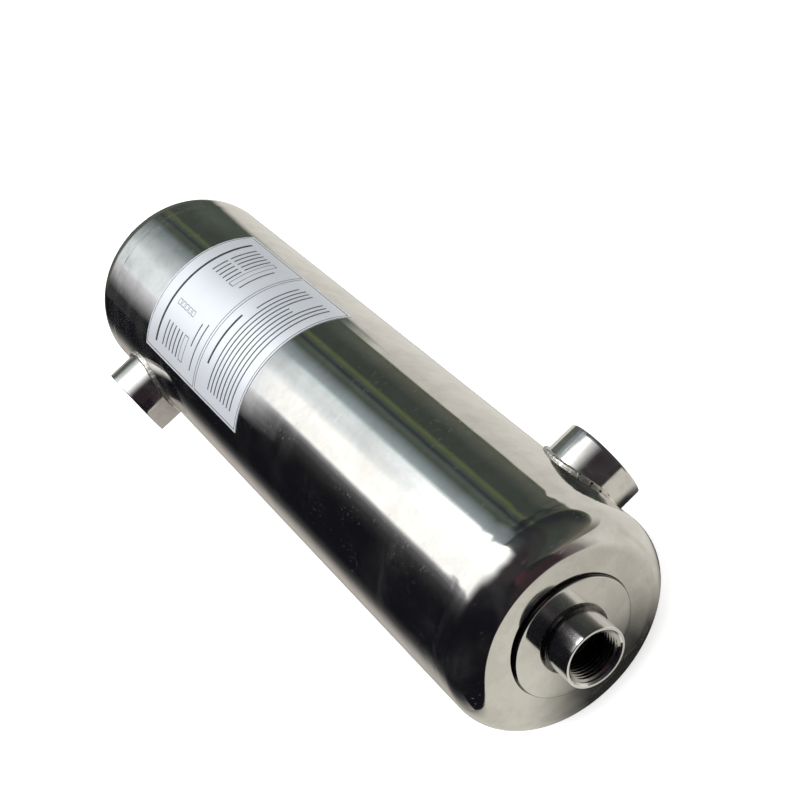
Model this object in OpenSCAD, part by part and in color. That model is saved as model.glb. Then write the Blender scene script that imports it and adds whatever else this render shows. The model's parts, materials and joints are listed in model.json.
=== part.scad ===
// Shell and tube heat exchanger, stainless steel, lying on its shell.
// The shell's axis runs along X, the near end is at +X and the near side socket points to +Y.
// The origin is on the floor under the middle of the shell.

/* [Shell] */
// Outside diameter of the shell
shell_od = 141.3; // [130:0.1:160]
// Wall of the shell and of its end caps
shell_wall = 2; // [1.5:0.1:2.5]
// Length over the flat faces of the two end caps
body_length = 500; // [470:1:700]

/* [End caps] */
// Outside radius of the rounded edge of an end cap
cap_knuckle = 18; // [12:0.5:20]
// Straight flange of an end cap, between its rounded edge and the girth weld
cap_flange = 8; // [5:0.5:10]
// Width of the girth weld that joins an end cap to the shell
girth_width = 3; // [2:0.5:4]

/* [Headers] */
// Diameter of a header plate and outside diameter of the sleeve behind it
header_od = 78.4; // [74:0.1:84]
// Thickness of a header plate
plate_thickness = 4.5; // [4:0.1:6]
// Distance from the flat face of an end cap out to the flat face of its header plate
plate_proud = 2.5; // [2:0.1:4]
// Radius of the rounded edge of a header plate
plate_edge = 1.5; // [0.8:0.1:1.8]
// Wall of a header sleeve
sleeve_wall = 2; // [1.5:0.1:2.5]
// Length of a header sleeve, from the back of its plate to its open end
sleeve_length = 38; // [32:0.5:40]

/* [Axial sockets] */
// Outside diameter of an axial socket
axial_od = 39; // [38:0.1:41]
// Bore of an axial socket, the major diameter of a one inch pipe thread
axial_bore = 33.25; // [30:0.05:34]
// Distance from the flat face of an end cap out to the mouth of its axial socket
axial_reach = 22; // [18:0.5:30]
// Leg of the weld around an axial socket
axial_weld_leg = 2.7; // [2:0.1:4]

/* [Side sockets] */
// Outside diameter of a side socket
side_od = 54; // [52:0.1:58]
// Bore of a side socket, the major diameter of a one and a half inch pipe thread
side_bore = 47.8; // [44:0.05:48.5]
// Distance from the flat face of an end cap back to the axis of its side socket
side_inset = 74; // [72:0.5:120]
// Distance from the shell out to the mouth of a side socket
side_reach = 18.8; // [14:0.1:40]
// Leg of the weld bead that follows the seam between a side socket and the shell
side_bead = 1.8; // [1.2:0.1:2.6]

/* [Mouths] */
// Chamfer inside the mouth of every socket
mouth_chamfer = 1.2; // [0.6:0.1:1.6]
// Broken outer edge at the mouth of every socket
mouth_edge = 0.5; // [0.2:0.1:0.8]

/* [Tube bundle] */
// Outside diameter of a tube
tube_od = 9.5; // [8:0.1:10]
// Wall of a tube
tube_wall = 0.8; // [0.5:0.1:1.2]
// Distance between the axes of neighbouring tubes
tube_pitch = 13; // [12:0.1:14]
// Thickness of a tube sheet
sheet_thickness = 4; // [3:0.5:8]
// Length of tube that stands out of a tube sheet, inside the header sleeve
tube_proud = 1; // [0.5:0.1:2]

/* [Data label] */
// Length of the label along the shell
label_length = 140; // [80:1:150]
// Width of the label, measured around the shell
label_width = 119; // [60:1:130]
// Distance from the flat face of the far end cap to the label
label_inset = 92; // [60:1:150]
// Turn of the label's middle from the top of the shell, towards the near side socket, in degrees
label_turn = -2; // [-10:1:10]
// Thickness of the label
label_thickness = 0.25; // [0.15:0.05:0.4]
// Thickness of the glue between the label and the shell
label_glue = 0.1; // [0.08:0.01:0.2]

/* [Fits] */
// Radial gap around each piece that passes through another before it is welded or expanded
slip_gap = 0.05; // [0.02:0.01:0.1]

/* [Hidden] */
$fn = 96;
steel = "#d6d5d0";
weld_steel = "#a9a49b";
inner_steel = "#b9bab8";
foil = "#d9dcdf";

// Axial stations, measured from the middle of the shell
face_x = body_length / 2;
knuckle_x = face_x - cap_knuckle;
girth_x = knuckle_x - cap_flange - girth_width;
plate_x = face_x + plate_proud;
sleeve_x = plate_x - plate_thickness;
sleeve_open_x = sleeve_x - sleeve_length;
sheet_x = sleeve_open_x + sheet_thickness;
axial_mouth_x = face_x + axial_reach;
side_x = face_x - side_inset;
label_x = face_x - label_inset - label_length / 2;

// Radii
shell_r = shell_od / 2;
shell_bore_r = shell_r - shell_wall;
header_r = header_od / 2;
sleeve_bore_r = header_r - sleeve_wall;
axial_r = axial_od / 2;
side_r = side_od / 2;
side_mouth = shell_r + side_reach;
tube_r = tube_od / 2;

// Length by which a cutting shape runs past the face that it cuts
past = 1;

// The foot of a side socket is cut to the round of the shell. It is lowest beside the shell's middle line.
side_root = sqrt(pow(shell_r, 2) - pow(side_r, 2)) - past;

// Section of the weld bead at a side socket, a quarter round. Each point is a pair of distances:
// out from the socket's wall and up from the shell's surface.
bead_steps = 6;
bead_section = concat(
    [[slip_gap, slip_gap]],
    [
        for (i = [0 : bead_steps])
            [slip_gap + side_bead * cos(90 * i / bead_steps), slip_gap + side_bead * sin(90 * i / bead_steps)]
    ]
);

// The seam of an end cap is staggered from the seam of the shell by this angle
cap_seam_turn = 45;

// A hexagon of tubes: one in the middle and two rings around it
tube_rings = 2;
tube_places = [
    for (row = [-tube_rings : tube_rings])
        for (step = [-tube_rings : tube_rings])
            if (abs(row + step) <= tube_rings)
                [tube_pitch * (step + row / 2), tube_pitch * row * sqrt(3) / 2]
];
tube_names = [for (i = [1 : len(tube_places)]) str("tube_", i < 10 ? "0" : "", i)];

ends = ["near", "far"];
end_pieces = [
    "end_cap", "girth_weld", "header_plate", "header_sleeve", "axial_socket", "axial_weld",
    "side_socket", "side_weld", "tube_sheet"
];

// Puts a shape that is made for the near end at the named end
module at_end(end) {
    rotate([0, 0, end == "far" ? 180 : 0]) children();
}

// Turns an outline of radius and axial station around the shell's axis.
// The seam where the turn closes lies at the top of the shell, or turned from there by the angle given.
module lathe(seam_turn = 0) {
    translate([0, 0, shell_r]) rotate([0, 90, 0]) rotate([0, 0, 180 + seam_turn])
        rotate_extrude() children();
}

// Moves a shape from Z onto the axis of the near side socket, with height measured from the shell's axis
module on_side_axis() {
    translate([side_x, 0, shell_r]) rotate([-90, 0, 0]) children();
}

// Outline of a rectangle between two radii and two stations
module band(inner_r, outer_r, low, high) {
    translate([inner_r, low]) square([outer_r - inner_r, high - low]);
}

// Outline of a disc with one rounded edge, from the axis out to radius r and up to station high
module rounded_disc(r, edge, low, high) {
    band(0, r - edge, low, high);
    band(0, r, low, high - edge);
    intersection() {
        translate([r - edge, high - edge]) circle(edge);
        band(r - edge, r, high - edge, high);
    }
}

// Outline of a pipe socket with a chamfered bore and a broken outer edge at its mouth
module socket_outline(bore_r, outer_r, root, mouth) {
    polygon([
        [bore_r, root],
        [outer_r, root],
        [outer_r, mouth - mouth_edge],
        [outer_r - mouth_edge, mouth],
        [bore_r + mouth_chamfer, mouth],
        [bore_r, mouth - mouth_chamfer]
    ]);
}

// A point beside the saddle-shaped seam where a round socket stands on the round shell.
// It lies out from the socket's wall and up from the shell by the two distances given.
function seam_point(turn, out, up) =
    let (reach = side_r + out)
    [reach * cos(turn), reach * sin(turn), sqrt(pow(shell_r + up, 2) - pow(reach * sin(turn), 2))];

// Sweeps the bead's section along the seam, all the way round the socket
module swept_bead() {
    steps = $fn;
    count = len(bead_section);
    points = [
        for (i = [0 : steps - 1])
            for (place = bead_section)
                seam_point(360 * i / steps, place[0], place[1])
    ];
    faces = [
        for (i = [0 : steps - 1])
            for (j = [0 : count - 1])
                let (
                    here = i * count,
                    there = (i + 1) % steps * count,
                    k = (j + 1) % count
                )
                for (face = [[here + j, there + j, there + k], [here + j, there + k, here + k]])
                    face
    ];
    polyhedron(points, faces);
}

module shell_barrel() {
    color(steel) difference() {
        lathe() band(shell_bore_r, shell_r, -girth_x, girth_x);
        for (end = ends) at_end(end) on_side_axis() cylinder(h = shell_r + past, d = side_bore);
    }
}

module end_cap(end) {
    color(steel) at_end(end) lathe(cap_seam_turn) difference() {
        rounded_disc(shell_r, cap_knuckle, girth_x + girth_width, face_x);
        rounded_disc(
            shell_bore_r, cap_knuckle - shell_wall, girth_x + girth_width - past, face_x - shell_wall
        );
        band(0, header_r + slip_gap, face_x - shell_wall - past, face_x + past);
    }
}

module girth_weld(end) {
    color(weld_steel) at_end(end) lathe()
        band(shell_bore_r, shell_r, girth_x, girth_x + girth_width);
}

module header_plate(end) {
    color(steel) at_end(end) lathe() difference() {
        rounded_disc(header_r, plate_edge, sleeve_x, plate_x);
        band(0, axial_r + slip_gap, sleeve_x - past, plate_x + past);
    }
}

module header_sleeve(end) {
    color(inner_steel) at_end(end) lathe() band(sleeve_bore_r, header_r, sleeve_open_x, sleeve_x);
}

module axial_socket(end) {
    color(steel) at_end(end) lathe()
        socket_outline(axial_bore / 2, axial_r, sleeve_x, axial_mouth_x);
}

module axial_weld(end) {
    color(weld_steel) at_end(end) lathe() intersection() {
        translate([axial_r, plate_x]) circle(axial_weld_leg);
        band(axial_r, axial_r + axial_weld_leg + past, plate_x, plate_x + axial_weld_leg + past);
    }
}

module side_socket(end) {
    color(steel) at_end(end) difference() {
        on_side_axis() rotate_extrude()
            socket_outline(side_bore / 2, side_r, side_root, side_mouth);
        lathe() band(0, shell_r, side_x - side_od, side_x + side_od);
    }
}

module side_weld(end) {
    color(weld_steel) at_end(end) on_side_axis() swept_bead();
}

module tube_sheet(end) {
    color(inner_steel) at_end(end) difference() {
        lathe() band(0, sleeve_bore_r - slip_gap, sleeve_open_x, sheet_x);
        for (place = tube_places)
            translate([sleeve_open_x - past, place[0], shell_r + place[1]]) rotate([0, 90, 0])
                cylinder(h = sheet_thickness + 2 * past, r = tube_r + slip_gap);
    }
}

module tube(place) {
    tube_length = 2 * (sheet_x + tube_proud);
    color(inner_steel) translate([0, place[0], shell_r + place[1]]) rotate([0, 90, 0])
        difference() {
            cylinder(h = tube_length, r = tube_r, center = true);
            cylinder(h = tube_length + 2 * past, r = tube_r - tube_wall, center = true);
        }
}

module data_label() {
    label_angle = label_width / (PI * shell_od) * 360;
    label_r = shell_r + label_glue;
    color(foil) translate([-label_x, 0, shell_r]) rotate([0, 90, 0])
        rotate([0, 0, 180 - label_turn - label_angle / 2]) rotate_extrude(angle = label_angle)
            band(label_r, label_r + label_thickness, -label_length / 2, label_length / 2);
}

shell_barrel();
data_label();
for (end = ends) {
    end_cap(end);
    girth_weld(end);
    header_plate(end);
    header_sleeve(end);
    axial_socket(end);
    axial_weld(end);
    side_socket(end);
    side_weld(end);
    tube_sheet(end);
}
for (i = [0 : len(tube_places) - 1])
    tube(tube_places[i]);
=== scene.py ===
import json
import math

import bmesh
import bpy
from mathutils import Matrix, Vector, noise

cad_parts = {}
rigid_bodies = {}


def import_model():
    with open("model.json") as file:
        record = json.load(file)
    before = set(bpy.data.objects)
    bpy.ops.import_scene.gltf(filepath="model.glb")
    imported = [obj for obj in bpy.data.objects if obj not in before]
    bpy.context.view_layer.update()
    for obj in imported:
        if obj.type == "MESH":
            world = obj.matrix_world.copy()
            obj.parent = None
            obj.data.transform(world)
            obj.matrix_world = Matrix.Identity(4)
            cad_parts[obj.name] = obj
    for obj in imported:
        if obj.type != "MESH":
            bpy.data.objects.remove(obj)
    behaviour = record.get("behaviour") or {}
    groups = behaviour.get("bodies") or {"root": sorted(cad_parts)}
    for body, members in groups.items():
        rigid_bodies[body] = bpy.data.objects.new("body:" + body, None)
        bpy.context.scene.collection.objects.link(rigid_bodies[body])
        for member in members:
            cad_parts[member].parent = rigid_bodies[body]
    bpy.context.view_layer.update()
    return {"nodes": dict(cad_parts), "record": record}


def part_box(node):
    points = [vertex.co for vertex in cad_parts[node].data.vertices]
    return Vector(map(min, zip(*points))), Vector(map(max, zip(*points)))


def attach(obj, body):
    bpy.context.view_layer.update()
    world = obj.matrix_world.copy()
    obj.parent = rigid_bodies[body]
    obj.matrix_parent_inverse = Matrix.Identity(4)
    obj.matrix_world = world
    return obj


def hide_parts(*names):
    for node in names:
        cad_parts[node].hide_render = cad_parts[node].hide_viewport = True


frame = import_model()
scene = bpy.context.scene
scene.view_settings.view_transform = "Standard"

MM = 0.001
TAU = 2.0 * math.pi
ENDS = ("near", "far")

# Sizes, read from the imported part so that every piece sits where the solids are
ports = {mount["name"]: mount for mount in frame["record"]["mounts"]}
barrel_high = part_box("shell_barrel")[1]
cap_low, cap_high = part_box("near_end_cap")
plate_low, plate_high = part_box("near_header_plate")
axial_low, axial_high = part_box("near_axial_socket")
axial_weld_low, axial_weld_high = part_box("near_axial_weld")
side_low, side_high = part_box("near_side_socket")
side_weld_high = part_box("near_side_weld")[1]
label_low, label_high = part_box("data_label")

SHELL_R = ports["near_axial_port"]["pos_m"][2]
SHELL_WALL = 2.0 * MM
INNER_R = SHELL_R - SHELL_WALL
GIRTH_X = barrel_high.x
CAP_X = cap_low.x
FACE_X = cap_high.x
KNUCKLE = 18.0 * MM
HEADER_R = plate_high.y
PLATE_GROOVE = 0.40 * MM
OPENING_R = HEADER_R + PLATE_GROOVE
PLATE_BACK_X = plate_low.x
PLATE_X = plate_high.x
PLATE_EDGE = 1.5 * MM
SEAM_X = (GIRTH_X + CAP_X) / 2.0
AXIAL_R = axial_high.y
AXIAL_BORE = ports["near_axial_port"]["dims"]["r_mm"] * MM
AXIAL_MOUTH = axial_high.x
SIDE_X = ports["near_side_port"]["pos_m"][0]
SIDE_R = side_high.x - SIDE_X
SIDE_BORE = ports["near_side_port"]["dims"]["r_mm"] * MM
SIDE_FOOT = side_low.y
SIDE_MOUTH = side_high.y
SIDE_LEG = side_weld_high.x - side_high.x
MOUTH_CHAMFER = 1.2 * MM
MOUTH_EDGE = 0.5 * MM
THREAD_PITCH = 2.309 * MM
THREAD_DEPTH = 1.40 * MM
SLIP_GAP = 0.05 * MM


# Camera, at the photo's place

def place_camera():
    data = bpy.data.cameras.new("photo_camera")
    data.sensor_width = 36.0
    data.lens = 74.07
    data.shift_y = -0.0099
    data.clip_start = 0.01
    camera = bpy.data.objects.new("photo_camera", data)
    across = Vector((0.51660, 0.72020, -0.46307))
    upward = Vector((-0.43629, 0.68676, 0.58138))
    backward = Vector((0.73673, -0.09831, 0.66900))
    turn = Matrix((across, upward, backward)).transposed()
    camera.matrix_world = Matrix.Translation((0.80131, -0.06394, 0.78697)) @ turn.to_4x4()
    scene.collection.objects.link(camera)
    scene.camera = camera


place_camera()


# Shader building helpers

def link(tree, source, target):
    if isinstance(source, (int, float, tuple)):
        target.default_value = source
    else:
        tree.links.new(source, target)


def fill(tree, node, values):
    """Sets or links a node's inputs by name, where _ stands for a space."""
    for label, value in values.items():
        link(tree, value, node.inputs[label.replace("_", " ")])
    return node


def add_node(tree, kind, **values):
    return fill(tree, tree.nodes.new(kind), values)


def calc(tree, operation, first, second=0.0, clamp=False):
    node = tree.nodes.new("ShaderNodeMath")
    node.operation = operation
    node.use_clamp = clamp
    link(tree, first, node.inputs[0])
    link(tree, second, node.inputs[1])
    return node.outputs[0]


def plus_scaled(tree, value, factor, base, clamp=False):
    """base + value x factor, where base is a number or another node's output."""
    total = calc(tree, "MULTIPLY_ADD", value, factor, clamp)
    link(tree, base, total.node.inputs[2])
    return total


def step_between(tree, value, low, high, out_low=0.0, out_high=1.0):
    """A soft run from out_low at the low value to out_high at the high one."""
    node = add_node(
        tree,
        "ShaderNodeMapRange",
        Value=value,
        From_Min=low,
        From_Max=high,
        To_Min=out_low,
        To_Max=out_high,
    )
    node.interpolation_type = "SMOOTHSTEP"
    return node.outputs["Result"]


def stretched(tree, point, scale, turn=(0.0, 0.0, 0.0)):
    return add_node(tree, "ShaderNodeMapping", Vector=point, Rotation=turn, Scale=scale).outputs["Vector"]


def cloud(tree, point, scale, detail=2.0, rough=0.5, warp=0.0):
    node = add_node(
        tree,
        "ShaderNodeTexNoise",
        Vector=point,
        Scale=scale,
        Detail=detail,
        Roughness=rough,
        Distortion=warp,
    )
    return node.outputs["Fac"]


def spots(tree, point, scale):
    """Distance from the nearest of many scattered spots."""
    return add_node(tree, "ShaderNodeTexVoronoi", Vector=point, Scale=scale).outputs["Distance"]


def sides(tree, point):
    """The X, Y and Z of a place."""
    return add_node(tree, "ShaderNodeSeparateXYZ", Vector=point).outputs


def blend_colour(tree, amount, first, second):
    node = add_node(tree, "ShaderNodeMix", Factor=amount)
    node.data_type = "RGBA"
    colour_inputs = [s for s in node.inputs if s.type == "RGBA"]
    link(tree, first, colour_inputs[0])
    link(tree, second, colour_inputs[1])
    return [s for s in node.outputs if s.type == "RGBA"][0]


def new_group(name, vectors, values, outputs):
    """A shader group. values gives each number that it takes a default, and it puts out numbers."""
    group = bpy.data.node_groups.new(name, "ShaderNodeTree")
    new_socket = group.interface.new_socket
    for label in vectors:
        new_socket(label, in_out="INPUT", socket_type="NodeSocketVector")
    for label, value in values.items():
        new_socket(label, in_out="INPUT", socket_type="NodeSocketFloat").default_value = value
    for label in outputs:
        new_socket(label, in_out="OUTPUT", socket_type="NodeSocketFloat")
    entry = group.nodes.new("NodeGroupInput")
    result = group.nodes.new("NodeGroupOutput")
    return group, entry.outputs, result.inputs


def use_group(tree, group, **values):
    node = tree.nodes.new("ShaderNodeGroup")
    node.node_tree = group
    return fill(tree, node, values).outputs


def new_material(name):
    material = bpy.data.materials.new(name)
    material.use_nodes = True
    tree = material.node_tree
    shader = tree.nodes["Principled BSDF"]
    point = tree.nodes.new("ShaderNodeTexCoord").outputs["Object"]
    return material, tree, shader, point


def dress(tree, shader, colour, rough, metal=1.0):
    fill(tree, shader, {"Base Color": colour, "Roughness": rough, "Metallic": metal})


def bump(tree, shader, height, distance):
    node = add_node(tree, "ShaderNodeBump", Strength=1.0, Distance=distance, Height=height)
    link(tree, node.outputs["Normal"], shader.inputs["Normal"])


# Shared surface effects

def build_polish_wear():
    """Haze, buffing lines, scattered scratches and dust of a polished steel face."""
    tree, given, out = new_group(
        "Polish Wear",
        ("Point", "Buffed Point", "Wiped Point"),
        {"Smudge Scale": 16.0, "Scratch Scale": 60.0},
        ("Smudge", "Lines", "Scratch", "Dust"),
    )
    point = given["Point"]
    scratch_scale = given["Scratch Scale"]
    patches = step_between(tree, cloud(tree, point, given["Smudge Scale"], 5.0, 0.62, 0.6), 0.40, 0.74)
    streaks = step_between(tree, cloud(tree, given["Wiped Point"], 1.0, 4.0, 0.62, 0.5), 0.40, 0.72)
    link(tree, calc(tree, "MULTIPLY", patches, calc(tree, "ADD", streaks, 0.22), True), out["Smudge"])
    link(tree, cloud(tree, given["Buffed Point"], 1.0, 3.0, 0.65), out["Lines"])
    marks = None
    for turn in ((0.3, 0.5, 0.2), (0.1, -0.7, 1.3), (1.1, 0.2, 2.2)):
        bent = stretched(tree, point, (1.0, 0.03, 1.0), turn)
        hair = cloud(tree, bent, calc(tree, "MULTIPLY", scratch_scale, 14.0), 1.0, 0.5)
        thin = step_between(tree, hair, 0.70, 0.76)
        marks = thin if marks is None else calc(tree, "MAXIMUM", marks, thin)
    here = step_between(tree, cloud(tree, point, scratch_scale), 0.42, 0.60)
    link(tree, calc(tree, "MULTIPLY", marks, here), out["Scratch"])
    specks = step_between(tree, spots(tree, point, calc(tree, "MULTIPLY", scratch_scale, 3.4)), 0.075, 0.03)
    settled = step_between(tree, cloud(tree, point, 34.0), 0.52, 0.60)
    link(tree, calc(tree, "MULTIPLY", specks, settled), out["Dust"])
    return tree


def build_weld_skin():
    """Pits, scale and grain of weld metal that was only brushed over."""
    tree, given, out = new_group(
        "Weld Skin",
        ("Point",),
        {"Pit Scale": 420.0},
        ("Pits", "Scale Patches", "Grain"),
    )
    point = given["Point"]
    few = step_between(tree, cloud(tree, point, 95.0), 0.50, 0.66)
    holes = step_between(tree, spots(tree, point, given["Pit Scale"]), 0.34, 0.16)
    link(tree, calc(tree, "MULTIPLY", holes, few), out["Pits"])
    patches = cloud(tree, point, 130.0, 4.0, 0.6)
    link(tree, step_between(tree, patches, 0.42, 0.66), out["Scale Patches"])
    link(tree, cloud(tree, point, 1400.0, 3.0, 0.6), out["Grain"])
    return tree


def build_seam_ripple():
    """Unevenness left by grinding a girth joint flush, on both sides of it.
    The far joint is the smoother one."""
    tree, given, out = new_group(
        "Seam Ripple",
        ("Point",),
        {"Seam Distance": 0.2, "Spread": 0.01},
        ("Height",),
    )
    along = sides(tree, given["Point"])["X"]
    away = calc(tree, "SUBTRACT", calc(tree, "ABSOLUTE", along), given["Seam Distance"])
    near = calc(tree, "DIVIDE", calc(tree, "ABSOLUTE", away), given["Spread"])
    close = step_between(tree, near, 1.0, 0.15)
    lumps = cloud(tree, stretched(tree, given["Point"], (84.0, 58.0, 58.0)), 1.0, 1.6, 0.5, 0.2)
    flatter = step_between(tree, along, -0.1, 0.1, 0.4, 1.0)
    link(tree, calc(tree, "MULTIPLY", calc(tree, "MULTIPLY", close, flatter), lumps), out["Height"])
    return tree


polish_wear = build_polish_wear()
weld_skin = build_weld_skin()
seam_ripple = build_seam_ripple()
SEAM_SPREAD = 11.0 * MM


def add_wear(tree, point, buffing, wiping, smudge_scale, scratch_scale=46.0):
    """Marks of use and polishing.
    buffing and wiping stretch them along the path of the wheel and the cloth."""
    return use_group(
        tree,
        polish_wear,
        Point=point,
        Buffed_Point=stretched(tree, point, buffing),
        Wiped_Point=stretched(tree, point, wiping),
        Smudge_Scale=smudge_scale,
        Scratch_Scale=scratch_scale,
    )


def polished_finish(
    name, buffing, wiping, wave_depth, smudge_scale, seam=0.0, base_rough=0.03, zone=None, zone_tone=None
):
    """Mirror-polished stainless steel. seam is the share of the ripple beside the girth joints.
    zone names an attribute of the mesh, and zone_tone is the colour where it is one. On the shell that is
    the ground steel beside a side weld; on a header plate it is painted shade along its edge."""
    material, tree, shader, point = new_material(name)
    wear = add_wear(tree, point, buffing, wiping, smudge_scale)
    mottle = step_between(tree, cloud(tree, point, 58.0, 4.0, 0.62, 0.3), 0.36, 0.66, 0.0, 0.7)
    stain = calc(tree, "ADD", wear["Smudge"], mottle, True)
    tone = blend_colour(tree, stain, (0.83, 0.82, 0.80, 1.0), (0.71, 0.695, 0.67, 1.0))
    rough = plus_scaled(tree, wear["Smudge"], 0.12, base_rough)
    rough = plus_scaled(tree, wear["Lines"], 0.045, rough)
    rough = plus_scaled(tree, wear["Scratch"], 0.16, rough)
    if zone:
        mark = tree.nodes.new("ShaderNodeAttribute")
        mark.attribute_name = zone
        ragged = plus_scaled(tree, cloud(tree, point, 90.0, 3.0), 0.6, 0.7)
        # On the shell this mask is the ground strip beside a side weld; on a header plate it is painted
        # shade along its edge.
        ground = calc(tree, "MULTIPLY", mark.outputs["Fac"], ragged, True)
        tone = blend_colour(tree, ground, tone, zone_tone)
        rough = plus_scaled(tree, ground, 0.12, rough)
    film = plus_scaled(tree, wear["Dust"], 0.14, calc(tree, "MULTIPLY", wear["Smudge"], 0.045))
    film = plus_scaled(tree, wear["Scratch"], 0.06, film)
    dress(tree, shader, tone, rough, calc(tree, "SUBTRACT", 1.0, film, True))
    swell = cloud(tree, point, 15.0, 2.0, 0.45)
    ripple = cloud(tree, stretched(tree, point, (26.0, 70.0, 70.0)), 1.0, 1.0, 0.4)
    height = plus_scaled(tree, ripple, 0.16, swell)
    height = plus_scaled(tree, wear["Lines"], 0.005, height)
    height = plus_scaled(tree, wear["Scratch"], -0.010, height)
    if seam:
        uneven = use_group(tree, seam_ripple, Point=point, Seam_Distance=SEAM_X, Spread=SEAM_SPREAD)
        height = plus_scaled(tree, uneven["Height"], seam, height)
    bump(tree, shader, height, wave_depth)
    return material


def turned_finish(name):
    """Fine lathe marks around the shell's axis, which draw a reflection out along it.
    The mouth is polished."""
    material, tree, shader, point = new_material(name)
    wear = add_wear(tree, point, (1600.0, 16.0, 16.0), (60.0, 30.0, 30.0), 30.0)
    tone = blend_colour(tree, wear["Lines"], (0.95, 0.95, 0.95, 1.0), (0.82, 0.82, 0.83, 1.0))
    marks = plus_scaled(tree, wear["Lines"], 0.05, 0.09)
    along = calc(tree, "ABSOLUTE", sides(tree, point)["X"])
    wall = step_between(tree, along, AXIAL_MOUTH - 0.2 * MM, AXIAL_MOUTH - 0.6 * MM)
    dress(tree, shader, tone, plus_scaled(tree, calc(tree, "MULTIPLY", marks, wall), 1.0, 0.05))
    around = tree.nodes.new("ShaderNodeTangent")
    around.direction_type = "RADIAL"
    around.axis = "X"
    link(tree, around.outputs["Tangent"], shader.inputs["Tangent"])
    shader.inputs["Anisotropic"].default_value = 0.95
    shader.inputs["Anisotropic Rotation"].default_value = 0.25
    bump(tree, shader, wear["Lines"], 0.0015 * MM)
    return material


def weld_finish(name, bright, dull, base_rough, pit_scale):
    """Weld metal with dark pits. bright is its clean colour and dull its colour under scale; the axial
    ring's pair is near black, a painted shade.
    """
    material, tree, shader, point = new_material(name)
    skin = use_group(tree, weld_skin, Point=point, Pit_Scale=pit_scale)
    tinted = blend_colour(tree, skin["Scale Patches"], bright, dull)
    pitted = blend_colour(tree, skin["Pits"], tinted, (0.015, 0.012, 0.010, 1.0))
    rough = plus_scaled(tree, skin["Scale Patches"], 0.18, base_rough)
    dress(tree, shader, pitted, plus_scaled(tree, skin["Pits"], 0.35, rough, True))
    height = plus_scaled(tree, skin["Pits"], -1.0, calc(tree, "MULTIPLY", skin["Grain"], 0.25))
    bump(tree, shader, height, 0.30 * MM)
    return material


def drawn_finish(name, bright, dull, base_rough, bore_shade=None):
    """Drawn or cut steel within the shell and its sockets. bore_shade is a painted shade: the colour it
    takes away from a socket's mouth, far down the bore."""
    material, tree, shader, point = new_material(name)
    wear = add_wear(tree, point, (25.0, 900.0, 900.0), (12.0, 60.0, 60.0), 40.0, 60.0)
    tone = blend_colour(tree, wear["Smudge"], bright, dull)
    if bore_shade:
        place = sides(tree, point)
        axial = calc(tree, "SUBTRACT", AXIAL_MOUTH, calc(tree, "ABSOLUTE", place["X"]))
        side = calc(tree, "SUBTRACT", SIDE_MOUTH, calc(tree, "ABSOLUTE", place["Y"]))
        # Painted shade, growing from a socket's mouth down into its bore
        bore_shade_share = step_between(tree, calc(tree, "MINIMUM", axial, side), 6.0 * MM, 15.0 * MM)
        tone = blend_colour(tree, bore_shade_share, tone, bore_shade)
    dress(tree, shader, tone, plus_scaled(tree, wear["Lines"], 0.22, base_rough))
    bump(tree, shader, wear["Lines"], 0.02 * MM)
    return material


def foil_finish(name):
    """Satin silver foil with a fine rolled grain and faint creases."""
    material, tree, shader, point = new_material(name)
    grain = cloud(tree, stretched(tree, point, (40.0, 1600.0, 1600.0)), 1.0, 3.0, 0.6)
    patches = cloud(tree, point, 30.0, 3.0, 0.55)
    tone = blend_colour(tree, patches, (0.78, 0.81, 0.87, 1.0), (0.86, 0.88, 0.93, 1.0))
    dress(tree, shader, tone, plus_scaled(tree, grain, 0.16, 0.27), 0.42)
    creases = cloud(tree, stretched(tree, point, (60.0, 22.0, 22.0)), 1.0)
    bump(tree, shader, plus_scaled(tree, grain, 0.05, creases), 0.12 * MM)
    return material


def ink_finish(name):
    """Dark print, a little worn."""
    material, tree, shader, point = new_material(name)
    worn = step_between(tree, cloud(tree, point, 240.0, 4.0, 0.6), 0.60, 0.84)
    colour = blend_colour(tree, worn, (0.018, 0.019, 0.023, 1.0), (0.12, 0.125, 0.14, 1.0))
    dress(tree, shader, colour, plus_scaled(tree, worn, 0.2, 0.42), 0.0)
    return material


EVEN_BUFF = (90.0, 90.0, 90.0)
END_WIPE = (40.0, 16.0, 16.0)
SEAM_SHARE = 1.5
shell_polish = polished_finish(
    "shell_polish",
    (620.0, 14.0, 14.0),
    (46.0, 15.0, 15.0),
    0.22 * MM,
    12.0,
    SEAM_SHARE,
    zone="ground_zone",
    zone_tone=(0.66, 0.65, 0.63, 1.0),
)
cap_polish = polished_finish("cap_polish", EVEN_BUFF, END_WIPE, 0.20 * MM, 15.0, SEAM_SHARE)
girth_polish = polished_finish("girth_polish", EVEN_BUFF, END_WIPE, 0.22 * MM, 30.0, SEAM_SHARE)
# The header plate's turned-down edge is painted near black: painted shade at the gap between the plate and
# the cap's face.
plate_polish = polished_finish(
    "plate_polish",
    EVEN_BUFF,
    END_WIPE,
    0.20 * MM,
    15.0,
    zone="edge_zone",
    zone_tone=(0.06, 0.055, 0.05, 1.0),
)
axial_turned = turned_finish("axial_turned")
side_polish = polished_finish(
    "side_polish", (20.0, 1500.0, 20.0), (30.0, 60.0, 30.0), 0.05 * MM, 30.0, base_rough=0.07
)
# The axial weld ring is near black: painted shade for the dark gap at the axial socket's foot.
ring_steel = weld_finish("ring_steel", (0.17, 0.165, 0.16, 1.0), (0.09, 0.085, 0.08, 1.0), 0.16, 430.0)
bead_steel = weld_finish("bead_steel", (0.94, 0.93, 0.90, 1.0), (0.72, 0.69, 0.64, 1.0), 0.36, 300.0)
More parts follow.
